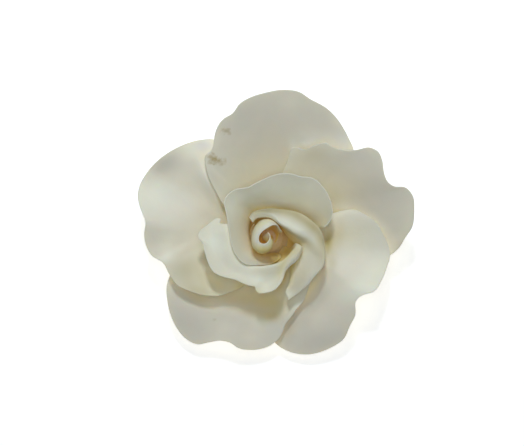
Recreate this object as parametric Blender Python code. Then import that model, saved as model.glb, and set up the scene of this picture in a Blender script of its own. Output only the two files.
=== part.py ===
"""An open rose head made of sugar paste, lying face up on its flat foot.

A turned cone of paste carries a furled bud, three inner petals and five outer
ones. Each petal is one sheet, from the foot that clings to the cone to the free
edge. An inner petal passes through the rings between them, and an outer one is
pulled up and outward by its slopes. Every outer petal lies over its neighbour on
one side and under the other.

Lengths in the tables are millimetres and angles are degrees. +X is right and
+Y is up when the flower is seen from above, and +Z is up. The origin is the
middle of the foot.
"""
import math

import bmesh
import bpy
import numpy as np

MM = 0.001

# Driving dimensions
FOOT_RADIUS = 10.5        # flat round foot that the flower rests on
CORE_HEIGHT = 12.7
SEAT = 0.35               # clearance between a petal's foot and the cone
BUD_SEAT = 0.8            # the leaning strip of the bud dips a little below its foot ring
OUTER_THICKNESS = 1.0
INNER_THICKNESS = 0.8
EDGE_SHARE = 0.5          # thickness left at the free edge
EDGE_WIDTH = 0.22         # share of the sheet, from foot to edge, that thins out
OUTER_GRID = (40, 8)      # faces along the edge, faces from foot to edge
INNER_GRID = (40, 14)
BUD_GRID = (48, 14)
EDGE_PULL = 0.36          # how far the slope of the edge carries inward
EDGE_CALM = 0.07          # ruffles are evened out inward over this share of the edge

# The cone of paste: radius and height of its turned side, from foot to tip
CORE_SIDE = [(FOOT_RADIUS, 0.0), (10.6, 0.8), (9.6, 2.4), (8.4, 4.4), (7.2, 6.6),
             (6.0, 9.0), (4.8, 11.4), (3.5, CORE_HEIGHT)]

# Free edges of the outer petals, clockwise from the raised side to the tucked
# side: x, y, height, and the slope of the sheet where it reaches the edge.
# Each foot is the arc it clings to: first and last bearing, first and last height.
# Each rise is how the sheet leaves that arc, at even steps along it: how steeply, and
# how far that carries as a share of the petal.
OUTER_PETALS = {
    "outer_petal_top": {
        "foot": (140, 48, 6.0, 2.5), "rise": [(50, 0.32), (50, 0.32)],
        "edge": [(-7.6, 6.2, 9.5, 50), (-10.8, 7.6, 13.0, 40), (-13.9, 9.9, 16.0, 30),
                 (-16.7, 14.5, 19.0, 22), (-18.4, 17.7, 20.8, 18), (-19.9, 22.5, 22.6, 12),
                 (-20.1, 26.1, 23.4, 8), (-18.3, 27.3, 24.0, 14), (-17.5, 29.3, 24.8, 20),
                 (-17.2, 31.8, 25.8, 24), (-16.3, 34.9, 27.0, 26), (-14.2, 37.7, 28.2, 26),
                 (-11.4, 39.3, 28.8, 24), (-9.0, 42.5, 30.2, 28), (-5.8, 44.4, 31.0, 28),
                 (-1.0, 45.9, 31.4, 28), (5.5, 46.9, 31.4, 28), (9.8, 46.3, 30.6, 24),
                 (13.5, 44.0, 29.2, 24), (18.4, 41.4, 27.4, 22), (21.9, 38.2, 24.8, 12),
                 (24.5, 34.5, 21.8, 5), (26.4, 30.9, 19.2, 0), (27.7, 27.9, 17.0, 0),
                 (25.5, 22.5, 14.5, 10), (18.5, 15.5, 11.0, 30), (11.0, 9.6, 7.0, 45)],
    },
    "outer_petal_right": {
        "foot": (86, -10, 6.0, 2.5), "rise": [(60, 0.34), (48, 0.30), (60, 0.34)],
        "edge": [(0.8, 10.4, 8.9, 50), (2.2, 14.0, 12.1, 42), (4.3, 19.5, 16.1, 28),
                 (6.3, 24.5, 19.8, 25), (8.1, 28.7, 22.8, 25), (11.9, 28.0, 23.2, 22),
                 (15.1, 29.3, 24.4, 24), (18.4, 30.1, 25.2, 26), (20.8, 28.7, 25.2, 26),
                 (24.0, 27.8, 25.8, 27), (28.0, 27.7, 26.8, 29), (32.8, 28.5, 28.6, 32),
                 (35.2, 27.2, 29.2, 33), (36.4, 24.5, 29.0, 33), (37.0, 20.3, 28.2, 30),
                 (38.3, 17.4, 27.6, 27), (40.6, 15.9, 27.6, 26), (43.8, 15.8, 28.4, 28),
                 (46.0, 13.6, 28.0, 28), (46.8, 8.4, 25.4, 22), (46.3, 3.0, 21.0, 10),
                 (44.1, -0.6, 17.2, 0), (42.2, -3.7, 15.2, -4), (39.3, -6.1, 14.2, -2),
                 (33.0, -7.3, 12.8, 8), (24.0, -6.0, 11.0, 25), (14.5, -3.6, 7.0, 45)],
    },
    "outer_petal_lower_right": {
        "foot": (15, -88, 6.0, 2.0),
        "rise": [(60, 0.34), (73, 0.54), (60, 0.34), (60, 0.34)],
        "edge": [(9.8, 4.4, 9.5, 50), (14.8, 5.9, 13.5, 30), (20.9, 7.6, 17.8, 12),
                 (23.5, 8.4, 19.0, 5), (28.0, 8.7, 20.8, 4), (31.0, 7.2, 21.2, 6),
                 (34.0, 5.4, 21.2, 7), (37.2, 0.4, 20.0, 6), (39.3, -6.1, 19.0, 5),
                 (38.3, -9.7, 19.4, 9), (36.4, -14.2, 21.2, 12), (34.1, -17.5, 22.6, 8),
                 (30.3, -18.8, 21.6, -4), (28.3, -20.6, 19.6, -12), (28.2, -25.1, 16.2, -20),
                 (26.4, -29.0, 13.2, -26), (24.5, -33.2, 9.8, -32), (20.0, -36.2, 7.6, -36),
                 (13.5, -38.2, 6.0, -36), (7.4, -37.5, 5.4, -28), (2.4, -34.6, 5.6, -16),
                 (-0.8, -29.0, 6.4, 2), (-2.2, -20.0, 6.6, 22), (-1.8, -13.5, 5.0, 45)],
    },
    "outer_petal_lower_left": {
        "foot": (-50, -164, 6.0, 2.0),
        "rise": [(60, 0.34), (72, 0.52), (62, 0.36), (60, 0.34)],
        "edge": [(8.0, -7.8, 10.4, 50), (11.3, -9.9, 13.3, 35), (13.7, -13.5, 14.9, 18),
                 (12.7, -17.5, 15.2, 5), (11.3, -20.9, 15.2, -2), (9.3, -23.2, 14.6, -8),
                 (8.0, -25.2, 13.8, -14), (5.6, -28.2, 12.4, -20), (4.2, -32.0, 10.0, -26),
                 (0.6, -35.4, 8.4, -30), (-5.8, -36.7, 8.6, -26), (-9.5, -36.1, 9.6, -20),
                 (-12.2, -34.3, 10.8, -16), (-15.5, -33.6, 10.6, -20), (-19.0, -34.2, 8.8, -28),
                 (-23.2, -34.9, 7.0, -36), (-26.9, -32.9, 6.8, -38), (-29.6, -29.5, 7.8, -34),
                 (-31.6, -25.0, 9.6, -24), (-32.6, -20.0, 11.4, -12), (-32.6, -15.5, 12.6, 0),
                 (-29.5, -9.0, 12.5, 5), (-22.0, -5.6, 10.5, 15), (-14.0, -3.2, 6.0, 40)],
    },
    "outer_petal_left": {
        "foot": (250, 112, 6.0, 2.0), "rise": [(60, 0.34), (60, 0.34)],
        "edge": [(-3.6, -10.5, 10.0, 50), (-5.2, -13.2, 13.5, 40), (-7.7, -15.8, 16.4, 25),
                 (-11.3, -17.4, 18.2, 12), (-15.1, -18.8, 18.8, 5), (-19.6, -18.9, 18.8, 0),
                 (-25.1, -17.5, 18.2, -5), (-29.5, -15.3, 17.6, -8), (-31.8, -12.0, 17.4, -4),
                 (-33.8, -8.3, 17.4, 0), (-37.4, -6.1, 16.8, -5), (-39.2, -3.0, 17.2, -5),
                 (-39.8, 1.0, 18.8, 0), (-39.3, 4.5, 20.4, 5), (-41.2, 9.8, 19.8, 0),
                 (-41.9, 13.2, 18.4, -5), (-41.3, 16.5, 17.4, 0), (-38.6, 21.1, 18.0, 12),
                 (-34.8, 25.0, 20.0, 16), (-28.3, 29.1, 20.6, 2), (-21.9, 31.2, 19.4, -10),
                 (-17.2, 31.4, 18.2, -10), (-11.5, 28.0, 15.0, 10), (-8.0, 21.0, 12.0, 25),
                 (-5.5, 14.0, 7.0, 45)],
    },
}

# Inner petals, ring by ring, clockwise from the side that lies inside its neighbour:
# the arc of the foot as above, then every ring that the sheet passes through on its
# way to the free edge, each as x, y, height.
INNER_PETALS = {
    "middle_petal_lip": {
        "foot": (-30, -190, 10.4, 7.4),
        "wall": [(7.2, -3.5, 19.5), (7.6, -5.6, 20.0), (5.8, -8.4, 20.5), (2.0, -10.1, 20.5),
                 (-3.0, -10.7, 21.0), (-7.9, -9.2, 21.5), (-10.9, -5.6, 22.5),
                 (-12.1, -0.6, 23.0), (-12.4, 3.3, 23.0)],
        "crest": [(10.2, -2.5, 27.9), (9.0, -4.0, 28.4), (7.5, -5.3, 28.8), (5.9, -6.8, 29.0),
                  (4.0, -8.3, 28.9), (1.5, -9.4, 28.3), (-2.0, -10.2, 27.5), (-6.0, -9.7, 27.3),
                  (-8.9, -7.9, 27.6), (-11.0, -4.8, 28.0), (-11.9, -1.7, 28.3),
                  (-12.4, 1.7, 28.4), (-12.8, 4.2, 28.0)],
        "lip": [(10.8, -3.0, 28.2), (9.8, -4.9, 28.7), (8.2, -6.7, 29.0), (6.4, -8.3, 28.9),
                (4.9, -10.2, 28.3), (3.2, -12.6, 27.5), (0.0, -14.0, 27.1), (-4.0, -13.4, 27.2),
                (-8.5, -12.2, 27.3), (-13.2, -10.2, 27.5), (-16.4, -6.2, 27.7),
                (-17.2, -2.0, 27.6), (-17.6, 1.8, 27.2), (-15.5, 4.6, 26.8)],
        "edge": [(11.2, -3.5, 27.0), (10.6, -5.5, 27.2), (9.0, -7.9, 27.2), (6.9, -9.6, 27.0),
                 (5.6, -11.3, 27.0), (4.8, -13.8, 27.6), (3.2, -16.0, 28.5), (1.5, -17.4, 29.2),
                 (-0.8, -18.2, 29.5), (-3.2, -18.1, 29.4), (-3.9, -17.3, 29.0),
                 (-4.1, -16.2, 28.5), (-6.0, -15.8, 28.6), (-8.0, -15.0, 28.6),
                 (-10.0, -13.9, 28.6), (-13.0, -13.0, 29.0), (-16.0, -12.0, 29.2),
                 (-17.5, -11.0, 29.3), (-18.7, -9.0, 29.3), (-19.6, -6.5, 29.2),
                 (-20.3, -4.0, 29.1), (-20.7, -2.0, 28.9), (-21.3, -0.9, 28.7),
                 (-22.1, -0.4, 28.5), (-22.2, 1.1, 28.0), (-21.2, 2.4, 27.6),
                 (-19.5, 3.7, 27.1), (-18.0, 5.0, 26.6), (-16.4, 6.0, 26.4),
                 (-14.8, 5.8, 26.2)],
    },
    "middle_petal_cup": {
        "foot": (282, 12, 11.2, 8.0),
        "wall": [(4.0, -5.4, 14.8), (1.4, -6.6, 16.6), (-2.0, -6.7, 19.5), (-4.8, -4.6, 20.0),
                 (-6.3, 0.0, 20.0), (-6.5, 4.0, 20.0), (-5.6, 7.4, 20.0), (-2.0, 9.4, 20.5),
                 (3.0, 9.9, 21.0), (8.0, 9.6, 21.0), (12.0, 8.2, 21.0), (14.6, 6.5, 20.5),
                 (16.4, 4.8, 20.5), (16.8, 2.9, 20.0)],
        "face": [(4.1, -6.0, 15.8), (0.8, -8.0, 19.8), (-3.5, -7.9, 25.0), (-7.4, -5.6, 26.0),
                 (-9.2, -1.0, 26.5), (-10.0, 5.0, 27.0), (-9.2, 10.4, 27.3), (-4.0, 13.2, 27.5),
                 (2.5, 15.0, 27.5), (9.0, 15.0, 27.0), (14.2, 13.0, 26.5), (17.2, 9.6, 26.0),
                 (18.6, 6.6, 25.0), (18.2, 4.4, 23.5), (17.4, 3.0, 22.5)],
        "edge": [(4.2, -6.4, 16.6), (2.9, -7.7, 18.6), (1.0, -8.5, 21.2), (-0.8, -8.9, 24.0),
                 (-3.0, -9.2, 26.6), (-5.2, -9.2, 28.0),
                 (-7.2, -8.6, 28.8), (-8.9, -7.4, 29.3), (-10.1, -5.8, 29.6), (-11.1, -3.8, 29.8),
                 (-11.8, -1.4, 30.0), (-12.2, 2.0, 30.3), (-12.8, 5.5, 30.6), (-13.4, 8.6, 31.0),
                 (-13.9, 10.8, 31.2), (-13.4, 12.6, 31.3), (-12.2, 14.0, 31.3),
                 (-10.6, 15.0, 31.3), (-8.6, 15.4, 31.3), (-6.4, 15.7, 31.4),
                 (-4.4, 16.8, 31.6), (-1.6, 18.2, 31.8), (1.2, 19.4, 31.8), (4.0, 20.1, 31.8),
                 (6.4, 20.2, 31.6), (8.6, 19.8, 31.3), (10.2, 19.2, 31.0), (12.0, 19.0, 30.8),
                 (14.0, 18.8, 30.6), (15.8, 17.7, 30.4), (17.4, 16.0, 30.2), (18.8, 14.0, 29.9),
                 (19.7, 12.0, 29.6), (20.3, 9.8, 29.2), (20.5, 7.6, 28.7), (20.0, 5.6, 28.0),
                 (18.9, 4.2, 27.0), (17.8, 3.2, 26.0)],
    },
    "inner_petal_furled": {
        "foot": (140, -40, 11.8, 8.4),
        "wall": [(-4.5, 4.8, 20.0), (-3.6, 6.0, 20.0), (-1.8, 6.5, 20.0), (0.6, 6.2, 20.0),
                 (2.7, 5.3, 20.0), (4.3, 3.7, 20.0), (5.4, 2.0, 20.0), (6.4, 0.4, 20.0),
                 (7.4, -1.0, 20.0), (8.6, -2.2, 20.0), (9.6, -3.8, 20.0), (10.0, -5.6, 20.0),
                 (9.9, -7.4, 19.5), (9.3, -9.4, 18.5), (8.6, -11.4, 17.5)],
        "face": [(-4.7, 4.6, 25.6), (-3.6, 5.9, 26.2), (-1.8, 6.5, 26.6), (0.8, 6.4, 26.8),
                 (3.1, 5.5, 26.8), (4.9, 4.1, 26.4), (6.2, 2.6, 26.0), (7.6, 1.2, 25.6),
                 (9.0, 0.0, 25.6), (10.4, -1.2, 25.8), (11.6, -2.8, 26.0), (12.2, -4.6, 26.0),
                 (12.0, -6.8, 25.5), (11.2, -9.2, 24.5), (9.6, -12.2, 23.0),
                 (7.2, -15.0, 21.2)],
        "crest": [(-5.0, 4.6, 27.4), (-3.9, 6.0, 28.6), (-2.0, 6.4, 29.2), (0.5, 6.3, 29.5),
                  (2.5, 5.7, 29.6), (4.2, 4.9, 29.8), (5.8, 3.8, 29.9), (7.1, 2.8, 29.9),
                  (8.5, 2.0, 29.9), (10.2, 1.5, 29.9), (11.8, 0.9, 29.8), (13.3, 0.2, 29.6),
                  (14.8, -0.9, 29.3), (16.1, -2.5, 29.0), (16.9, -4.4, 28.6),
                  (17.2, -6.3, 28.1), (17.0, -8.2, 27.6), (16.0, -9.9, 27.0),
                  (14.5, -11.5, 26.3), (12.8, -13.1, 25.6), (11.2, -14.5, 24.9),
                  (9.5, -15.7, 24.1), (7.6, -16.9, 23.1), (5.7, -18.0, 22.2)],
        "lip": [(-5.6, 5.5, 27.8), (-4.5, 7.0, 28.9), (-2.2, 7.4, 29.7), (0.8, 7.2, 30.2),
                (3.3, 6.5, 30.5), (5.4, 5.6, 30.7), (7.2, 4.5, 30.8), (9.2, 3.5, 30.6),
                (11.1, 2.5, 30.3), (13.4, 2.0, 29.7), (15.0, 0.7, 29.3), (16.4, -0.9, 28.9),
                (17.3, -2.9, 28.6), (17.7, -5.0, 28.3), (17.8, -7.0, 27.9), (17.4, -8.8, 27.4),
                (16.2, -10.6, 26.8), (14.7, -12.2, 26.0), (13.0, -13.8, 25.3),
                (11.4, -15.2, 24.6), (9.8, -16.5, 23.9), (8.1, -17.8, 23.1),
                (6.3, -19.3, 22.3)],
        "edge": [(-6.2, 6.3, 25.2), (-4.9, 7.9, 25.8), (-2.3, 8.9, 26.0), (1.0, 9.3, 25.7),
                 (4.0, 9.3, 25.3), (7.0, 8.9, 24.8), (9.8, 8.0, 24.2), (12.0, 6.9, 23.8),
                 (14.0, 5.4, 23.7), (15.7, 3.9, 23.8), (17.0, 2.1, 24.3), (17.8, 0.0, 25.0),
                 (18.1, -2.2, 26.0), (18.2, -4.4, 26.9), (18.2, -6.6, 27.2), (17.9, -8.5, 27.0),
                 (16.9, -10.2, 26.5), (15.4, -11.9, 25.8), (13.8, -13.5, 25.0),
                 (12.3, -15.0, 24.3), (10.9, -16.2, 23.7), (9.5, -17.6, 23.1),
                 (8.0, -19.0, 22.4), (6.4, -20.4, 21.7)],
    },
}

# The bud: one strip furled clockwise round an open heart, leaning in on its first turn
# and flaring out on its last. Its foot spirals on top of the cone (first and last
# bearing, first and last radius). The rings are drawn station by station.
BUD_FOOT = (20, -400, 1.2, 2.7)
BUD_RINGS = {
    "waist": [(-0.6, 0.2, 21), (-0.2, -0.8, 21), (0.3, -1.8, 20.5), (-0.3, -2.9, 20),
              (-1.6, -3.5, 20), (-3.0, -2.7, 20), (-3.7, -0.8, 20), (-3.4, 1.4, 20),
              (-2.1, 3.1, 20), (-0.2, 3.9, 20), (1.4, 3.8, 20), (2.4, 3.1, 20),
              (3.2, 2.2, 19.5), (3.7, 1.0, 19)],
    "flank": [(-1.7, 0.0, 26.6), (-1.0, -1.0, 26), (0.2, -2.4, 25.5), (-0.2, -4.0, 25.5),
              (-2.1, -4.6, 26), (-4.2, -3.0, 26), (-4.9, -0.3, 26.5), (-4.4, 2.5, 26.5),
              (-2.8, 4.5, 27), (-0.4, 5.1, 27), (1.4, 4.8, 26.5), (2.7, 4.0, 26),
              (3.8, 2.9, 24.5), (4.3, 1.4, 23)],
    "shoulder": [(-0.9, 0.9, 28.5), (0.0, -0.3, 28.4), (0.9, -1.8, 28.0), (0.1, -3.4, 28.4),
                 (-2.1, -3.7, 30.0), (-3.8, -2.4, 30.2), (-4.4, -0.3, 30.4), (-3.9, 2.0, 30.5),
                 (-2.4, 3.7, 30.6), (-0.3, 4.4, 30.5), (1.5, 4.5, 30.0), (2.9, 4.2, 28.8),
                 (4.1, 3.1, 27.5), (4.8, 1.8, 25.5)],
    "edge": [(0.0, 1.5, 29.8), (0.5, 0.5, 30.2), (0.2, -0.9, 30.6), (-0.7, -1.9, 31.0),
             (-1.8, -2.0, 31.4), (-2.7, -1.4, 31.7), (-2.9, -0.3, 31.8), (-2.4, 0.9, 31.9),
             (-1.3, 2.0, 32.0), (0.1, 2.9, 32.0), (1.8, 3.9, 31.4), (3.2, 4.2, 30.4),
             (4.5, 3.4, 29.0), (5.4, 2.2, 27.4)],
}

COLOURS = {
    "core": (0.62, 0.56, 0.40),
    "bud": (0.68, 0.64, 0.48),
    "inner": (0.72, 0.69, 0.55),
    "outer": (0.74, 0.72, 0.60),
}


def paste_material(name, colour):
    """Dried sugar paste: an ivory, nearly matt surface."""
    material = bpy.data.materials.new(name)
    material.use_nodes = True
    shader = material.node_tree.nodes["Principled BSDF"]
    shader.inputs["Base Color"].default_value = (*colour, 1.0)
    shader.inputs["Roughness"].default_value = 0.6
    shader.inputs["Metallic"].default_value = 0.0
    return material


def smooth_curve(points, shares, by_station=False):
    """Read a smooth curve through hand-placed points at the given shares of its length.

    By station, the points count as evenly spaced along it.
    """
    points = np.array(points, dtype=float)
    steps = np.linalg.norm(np.diff(points[:, :3], axis=0), axis=1)
    if by_station:
        steps = np.ones(len(steps))
    along = np.concatenate([[0.0], np.cumsum(steps)])
    tangents = np.gradient(points, along, axis=0)
    places = np.array(shares) * along[-1]
    first = np.clip(np.searchsorted(along, places, side="right") - 1, 0, len(steps) - 1)
    width = steps[first][:, None]
    t = ((places - along[first]) / steps[first])[:, None]
    return ((2 * t**3 - 3 * t**2 + 1) * points[first]
            + (t**3 - 2 * t**2 + t) * width * tangents[first]
            + (3 * t**2 - 2 * t**3) * points[first + 1]
            + (t**3 - t**2) * width * tangents[first + 1])


def core_radius(height):
    """Radius of the cone of paste at a height."""
    radii, heights = zip(*CORE_SIDE)
    return np.interp(height, heights, radii)


def foot_ring(foot, shares):
    """The arc where a petal clings to the cone."""
    first_bearing, last_bearing, first_height, last_height = foot
    shares = np.array(shares)
    bearing = np.radians(first_bearing + (last_bearing - first_bearing) * shares)
    height = first_height + (last_height - first_height) * shares
    radius = core_radius(height) + SEAT
    return np.column_stack([radius * np.cos(bearing), radius * np.sin(bearing), height])


def outer_net(petal, shares, rows):
    """An outer petal's points, row by row, pulled by its slopes at foot and edge."""
    foot = foot_ring(petal["foot"], shares)
    edge = smooth_curve(petal["edge"], shares)[:, :3]
    across = edge[:, :2] - foot[:, :2]
    reach = np.linalg.norm(across, axis=1, keepdims=True)
    outward = across / reach
    calm = np.mean([smooth_curve(petal["edge"], shares + shift * np.sin(np.pi * shares))
                    for shift in np.linspace(-EDGE_CALM, EDGE_CALM, 7)], axis=0)
    calm_edge, slope = calm[:, :3], np.radians(calm[:, 3])
    steepness, pull = smooth_curve(petal["rise"], shares, by_station=True).T[:, :, None]
    steepness = np.radians(steepness)
    first = foot + pull * reach * np.hstack(
        [outward * np.cos(steepness), np.sin(steepness)])
    second = calm_edge - EDGE_PULL * reach * np.column_stack(
        [outward * np.cos(slope)[:, None], np.sin(slope)])
    v = np.array(rows)[:, None, None]
    return ((1 - v)**3 * foot + 3 * v * (1 - v)**2 * first
            + 3 * v * v * (1 - v) * second + v**3 * edge)


def threaded_net(rings, rows):
    """A sheet's points, row by row, on smooth curves through all of its rings."""
    columns = [smooth_curve(station, rows) for station in np.stack(rings, axis=1)]
    return np.stack(columns, axis=1)


def inner_net(petal, shares, rows):
    """An inner petal's points, row by row."""
    drawn = [smooth_curve(ring, shares) for name, ring in petal.items() if name != "foot"]
    return threaded_net([foot_ring(petal["foot"], shares), *drawn], rows)


def bud_net(shares, rows):
    """The furled strip's points, from a spiral foot on the cone's top."""
    first_bearing, last_bearing, first_radius, last_radius = BUD_FOOT
    shares = np.array(shares)
    bearing = np.radians(first_bearing + (last_bearing - first_bearing) * shares)
    radius = first_radius + (last_radius - first_radius) * shares
    foot = np.column_stack([radius * np.cos(bearing), radius * np.sin(bearing),
                            np.full(len(shares), CORE_HEIGHT + BUD_SEAT)])
    drawn = [smooth_curve(ring, shares, by_station=True) for ring in BUD_RINGS.values()]
    return threaded_net([foot, *drawn], rows)


def sheet(name, net_of, grid, thickness, material):
    """Lay a grid on a petal's net of points and give it its thickness."""
    across, outward = grid
    mesh = bpy.data.meshes.new(name)
    shape = bmesh.new()
    bmesh.ops.create_grid(shape, x_segments=across, y_segments=outward, size=1.0)
    rows = np.linspace(0.0, 1.0, outward + 1)
    net = net_of(np.linspace(0.0, 1.0, across + 1), rows)
    body = shape.verts.layers.deform.verify()
    for vertex in shape.verts:
        column = round((vertex.co.x + 1) / 2 * across)
        row = round((vertex.co.y + 1) / 2 * outward)
        vertex.co = net[row, column] * MM
        vertex[body][0] = min(1.0, (1 - rows[row]) / EDGE_WIDTH)
    shape.to_mesh(mesh)
    shape.free()
    mesh.materials.append(material)
    mesh.shade_smooth()
    petal = bpy.data.objects.new(name, mesh)
    bpy.context.scene.collection.objects.link(petal)
    petal.vertex_groups.new(name="body")
    solid = petal.modifiers.new("thickness", "SOLIDIFY")
    solid.thickness = thickness * MM
    solid.offset = -1.0
    solid.vertex_group = "body"
    solid.thickness_vertex_group = EDGE_SHARE
    return petal


def turned_core(material):
    """The cone of paste, turned from its side profile and flat at both ends."""
    mesh = bpy.data.meshes.new("core")
    shape = bmesh.new()
    corners = [shape.verts.new((x * MM, 0.0, z * MM)) for x, z in CORE_SIDE]
    sides = [shape.edges.new(pair) for pair in zip(corners, corners[1:])]
    bmesh.ops.spin(shape, geom=corners + sides, axis=(0, 0, 1), cent=(0, 0, 0),
                   steps=36, angle=math.tau, use_merge=True)
    bmesh.ops.remove_doubles(shape, verts=shape.verts, dist=1e-6)
    bmesh.ops.holes_fill(shape, edges=shape.edges, sides=0)
    bmesh.ops.recalc_face_normals(shape, faces=shape.faces)
    shape.to_mesh(mesh)
    shape.free()
    mesh.materials.append(material)
    mesh.shade_smooth()
    mesh.set_sharp_from_angle(angle=math.radians(40))
    core = bpy.data.objects.new("core", mesh)
    bpy.context.scene.collection.objects.link(core)


def main():
    for leftover in list(bpy.data.objects):
        bpy.data.objects.remove(leftover)
    turned_core(paste_material("core_paste", COLOURS["core"]))
    bud_material = paste_material("bud_paste", COLOURS["bud"])
    sheet("bud", bud_net, BUD_GRID, INNER_THICKNESS, bud_material)
    for name, petal in INNER_PETALS.items():
        material = paste_material(name + "_paste", COLOURS["inner"])
        sheet(name, lambda shares, rows: inner_net(petal, shares, rows), INNER_GRID,
              INNER_THICKNESS, material)
    for name, petal in OUTER_PETALS.items():
        material = paste_material(name + "_paste", COLOURS["outer"])
        sheet(name, lambda shares, rows: outer_net(petal, shares, rows), OUTER_GRID,
              OUTER_THICKNESS, material)


main()
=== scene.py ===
"""A rose head of sugar paste that lies face up on a plain pale floor.

Every petal is one fine sheet that starts on an arc round the cone of paste. An outer
petal sweeps in one curve from that foot to its ruffled free edge. An inner petal and
the furled bud pass through a few drawn rings on the way. Listed touches then pinch
and press the sheets. Listed ovals of painted highlight and painted shade make the paste
paler, darker or browner in places, and painted shade also browns the hollows and
darkens the free edges.

Lengths are millimetres, or metres for the camera, the lights and the floor. Angles
are degrees. +X is right and +Y is up when the flower is seen from above, and +Z is up.
"""
import math
from functools import partial

import bmesh
import bpy
import numpy as np
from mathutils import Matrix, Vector, noise
from mathutils.bvhtree import BVHTree

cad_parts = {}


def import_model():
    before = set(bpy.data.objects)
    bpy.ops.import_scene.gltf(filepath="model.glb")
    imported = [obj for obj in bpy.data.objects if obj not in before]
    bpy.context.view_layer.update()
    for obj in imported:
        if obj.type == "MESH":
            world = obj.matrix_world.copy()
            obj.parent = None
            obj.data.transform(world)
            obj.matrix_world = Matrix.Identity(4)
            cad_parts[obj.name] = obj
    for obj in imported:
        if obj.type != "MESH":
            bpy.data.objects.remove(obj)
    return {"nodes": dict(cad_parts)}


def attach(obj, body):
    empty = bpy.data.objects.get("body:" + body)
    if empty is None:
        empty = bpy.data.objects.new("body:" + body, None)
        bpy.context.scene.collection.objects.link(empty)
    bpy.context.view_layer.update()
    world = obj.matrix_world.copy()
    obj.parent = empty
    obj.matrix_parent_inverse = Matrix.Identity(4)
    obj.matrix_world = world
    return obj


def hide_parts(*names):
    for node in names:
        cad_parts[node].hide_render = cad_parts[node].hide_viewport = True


MM = 0.001

# Sheets
SEAT = 0.35               # clearance between a petal's foot and the cone
BUD_SEAT = 0.8            # the leaning strip of the bud dips a little below its foot ring
CORE_HEIGHT = 12.7
FOOT_RADIUS = 10.5
OUTER_THICKNESS = 1.0
INNER_THICKNESS = 0.8
RIM_SHARE = 0.4           # thickness left at a free edge
RIM_WIDTH = 2.6           # how far from a free edge the sheet thins out
OUTER_GRID = (126, 38)    # faces along the edge, faces from foot to edge
INNER_GRID = (116, 38)
ROW_CROWDING = 1.2        # above 1, the rows of faces lie closer together near the edge
EDGE_PULL = 0.36          # how far the slope of the edge carries inward
EDGE_CALM = 0.07          # ruffles are evened out inward over this share of the edge
CALM_READINGS = 7
HELD_SHARE = 0.3          # touches fade out over this share of a petal above its foot
WAVES = [(0.10, 5.0), (0.03, 1.8)]    # height and width of the slight waves in a sheet
WAVE_SHIFT = (7.3, 3.1)   # the waves move this far from one petal to the next

# Camera, straight above, in metres
FRAME_CENTRE = (-0.0019, 0.00445)
FRAME_WIDTH = 0.1684      # width of the view at the height of the petals' rims
FOCUS_HEIGHT = 0.018
CAMERA_HEIGHT = 1.6

# Light: name, place and size in metres, and power in watts, of each soft light
LIGHT_COLOUR = (0.90, 0.975, 1.07)
SKY = 0.185
LIGHTS = [("key", (-0.02, 0.45, 0.78), 0.10, 2.85),
          ("overhead", (0.0, 0.05, 2.2), 0.6, 8.5)]
BOUNCES = 16

# Floor, in metres
FLOOR_SIDE = 3.0
FLOOR_DROP = 0.0001
FLOOR_GLOW = 0.50
FLOOR_CLOUDS = 6.0        # scale of its clouds, per metre
FLOOR_TONES = (0.90, 0.94)

# Petal colour and heart colour of every slot
LOOKS = {
    "core_paste": ((0.92, 0.75, 0.45), (0.92, 0.75, 0.45)),
    "bud_paste": ((0.90, 0.85, 0.66), (0.90, 0.80, 0.56)),
    "inner_petal_paste": ((0.89, 0.845, 0.67), (0.89, 0.84, 0.65)),
    "outer_petal_paste": ((0.87, 0.83, 0.68), (0.86, 0.82, 0.65)),
}

# Paste. A pattern's scale is per metre, and its range is what it is stretched from.
MOTTLE_SCALE, MOTTLE_RANGE = 170.0, (0.3, 0.7)
BLOTCH_SCALE, BLOTCH_RANGE = 420.0, (0.35, 0.65)
GRAIN_SCALE = 1500.0
VEINS = (60.0, 1.5)          # how finely the veins divide a petal across and outward
HEART_FADE = (0.25, 0.80)    # the heart's colour ends between these shares of the way out
HEART_RAGGED = 0.06          # how far the mottling moves that end
# Painted shade along the free edges, which are darkened towards this colour
RIM_SHADE_COLOUR = (0.70, 0.67, 0.56, 1.0)
RIM_SHADE = (0.8, 0.25)       # width and strength
BLOTCH_COLOUR = (0.80, 0.74, 0.58, 1.0)
BLOTCH_STRENGTH = 0.10
ROUGHNESS = (0.52, 0.68)
RELIEF = {"vein": 0.04, "mottle": 0.30, "grain": 0.05}
RELIEF_STRENGTH = 0.5

# Painted shade, browner and darker where the flower hides the open air, from the first share to
# the second
PAINTED_SHADE_COLOUR = (1.0, 0.90, 0.50, 1.0)
PAINTED_SHADE_SHELTER = (0.60, 1.00)
PAINTED_SHADE_STRENGTH = 0.9
MOST_PAINTED_SHADE = 1.1

# Browned specks: centre, half sizes, strength
SPECK_COLOUR = (0.48, 0.36, 0.09, 1.0)
SPECK_SCALE = 700.0
SPECK_RAGGED = 2.2        # how much the noise moves a speck's border in and out
SPECK_FADE = (1.2, 2.2)   # the speck fades between these distances, in half sizes
SPECKS = {
    "outer_petal_top": [((-18.0, 25.2, 22.5), (2.3, 1.7, 6.0), 0.65),
                        ((-15.3, 24.0, 22.5), (2.1, 1.4, 6.0), 0.55),
                        ((-13.2, 34.0, 24.5), (1.6, 1.4, 6.0), 0.5)],
    "outer_petal_lower_left": [((-17.2, -26.6, 9.0), (0.8, 0.8, 6.0), 0.25)],
}

# The cone of paste: radius and height of its turned side, from foot to tip
CORE_SIDE = [(FOOT_RADIUS, 0.0), (10.6, 0.8), (9.6, 2.4), (8.4, 4.4), (7.2, 6.6),
             (6.0, 9.0), (4.8, 11.4), (3.5, CORE_HEIGHT)]

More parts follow.
